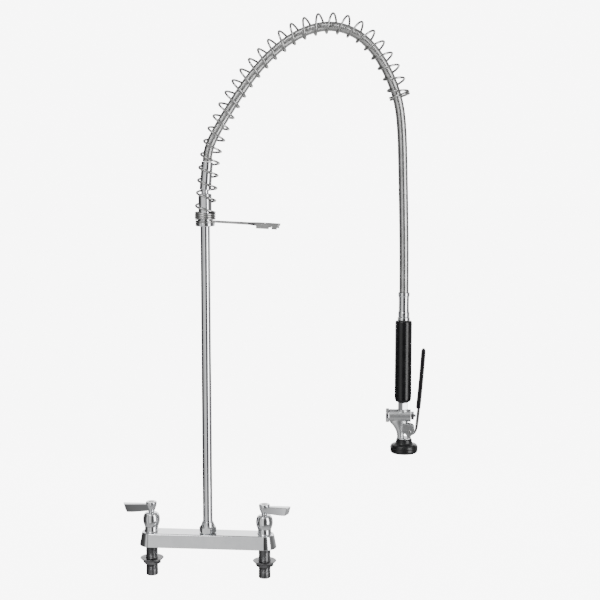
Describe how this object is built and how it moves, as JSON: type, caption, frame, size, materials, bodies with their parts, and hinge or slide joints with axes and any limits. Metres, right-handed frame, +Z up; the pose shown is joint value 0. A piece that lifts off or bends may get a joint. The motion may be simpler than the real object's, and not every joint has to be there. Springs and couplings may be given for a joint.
{
  "type": "pre-rinse faucet",
  "caption": "Deck-mount pre-rinse faucet with two lever handles, riser, hook arm, overhead spring, flexible hose and a squeeze-lever spray valve with a grip",
  "frame": {"origin": "centre of the base body's underside, on the deck, midway between the two supply shanks", "axes": "+X along the base body towards the side the spring arch reaches over, +Z up away from the deck, front is -Y"},
  "size_m": [0.5322, 0.049, 0.9878],
  "materials": {
    "polished_chrome": "polished chrome plate on brass",
    "satin_chrome": "chrome plate over a satin cast surface",
    "stainless_steel": "stainless steel, lightly brushed or drawn",
    "shank_steel": "dull plated thread and pressed washer",
    "valve_brass": "machined brass",
    "white_ceramic": "lapped white alumina ceramic",
    "seal_rubber": "black nitrile rubber seal",
    "black_vinyl": "dipped black vinyl, semi-gloss",
    "black_rubber": "moulded black rubber, satin"
  },
  "bodies": {
    "base": {"base_body": "polished_chrome", "left_supply_shank": "shank_steel", "left_shank_washer": "shank_steel", "left_shank_locknut": "shank_steel", "left_valve_seal": "seal_rubber", "left_valve_cartridge": "valve_brass", "left_fixed_disc": "white_ceramic", "left_bonnet": "polished_chrome", "right_supply_shank": "shank_steel", "right_shank_washer": "shank_steel", "right_shank_locknut": "shank_steel", "right_valve_seal": "seal_rubber", "right_valve_cartridge": "valve_brass", "right_fixed_disc": "white_ceramic", "right_bonnet": "polished_chrome", "riser_seal": "seal_rubber", "riser_nut": "polished_chrome"},
    "left_handle": {"left_handle": "polished_chrome", "left_valve_stem": "valve_brass", "left_turning_disc": "white_ceramic", "left_handle_screw": "stainless_steel"},
    "right_handle": {"right_handle": "polished_chrome", "right_valve_stem": "valve_brass", "right_turning_disc": "white_ceramic", "right_handle_screw": "stainless_steel"},
    "riser": {"riser_pipe": "polished_chrome", "spring_collar": "polished_chrome", "riser_top_fitting": "polished_chrome", "overhead_spring": "stainless_steel", "hose_top_ferrule": "polished_chrome", "hose_in_spring": "stainless_steel"},
    "hook": {"hook_arm": "stainless_steel"},
    "hanging_hose": {"hanging_hose": "stainless_steel", "hose_end_ferrule": "polished_chrome"},
    "spray": {"grip_sleeve": "black_vinyl", "grip_tube": "stainless_steel", "swivel_nut": "polished_chrome", "neck_nut": "polished_chrome", "spray_body": "satin_chrome", "barrel_cap": "polished_chrome", "return_spring": "stainless_steel", "packing_nut": "polished_chrome", "stem_packing": "seal_rubber", "spray_face": "stainless_steel", "bumper_ring": "black_rubber", "lever_pin": "stainless_steel"},
    "lever": {"squeeze_lever": "stainless_steel", "lever_coat": "black_vinyl"},
    "plunger": {"plunger": "stainless_steel", "valve_seat_washer": "seal_rubber"}
  },
  "joints": [
    {"name": "left_handle_turn", "type": "hinge", "parent": "base", "child": "left_handle", "pos_m": [-0.1016, 0, 0.069], "axis": [0, 0, 1], "range_deg": [0, 90]},
    {"name": "right_handle_turn", "type": "hinge", "parent": "base", "child": "right_handle", "pos_m": [0.1016, 0, 0.069], "axis": [0, 0, -1], "range_deg": [0, 90]},
    {"name": "riser_swivel", "type": "hinge", "parent": "base", "child": "riser", "pos_m": [0, 0, 0.035], "axis": [0, 0, 1], "range_deg": [-90, 90]},
    {"name": "hook_swivel", "type": "hinge", "parent": "riser", "child": "hook", "pos_m": [0, 0, 0.5793], "axis": [0, 0, 1], "range_deg": [-90, 90]},
    {"name": "spray_swing", "type": "hinge", "parent": "riser", "child": "hanging_hose", "pos_m": [0.335, 0, 0.7666], "axis": [0, 1, 0], "range_deg": [-18, 18], "stiffness_Nm_per_rad": 2, "springref_deg": -2.29},
    {"name": "spray_swivel", "type": "hinge", "parent": "hanging_hose", "child": "spray", "pos_m": [0.3445, 0, 0.4133], "axis": [0, 0, 1], "continuous": true},
    {"name": "lever_squeeze", "type": "hinge", "parent": "spray", "child": "lever", "pos_m": [0.3565, 0, 0.2165], "axis": [0, -1, 0], "range_deg": [0, 6.4], "stiffness_Nm_per_rad": 4, "springref_deg": -6.88},
    {"name": "plunger_slide", "type": "slide", "parent": "spray", "child": "plunger", "axis": [-1, 0, 0], "range_m": [0, 0.0032]}
  ],
  "couplings": [
    {"joint": "plunger_slide", "follows": "lever_squeeze", "m_per_rad": 0.0265}
  ]
}
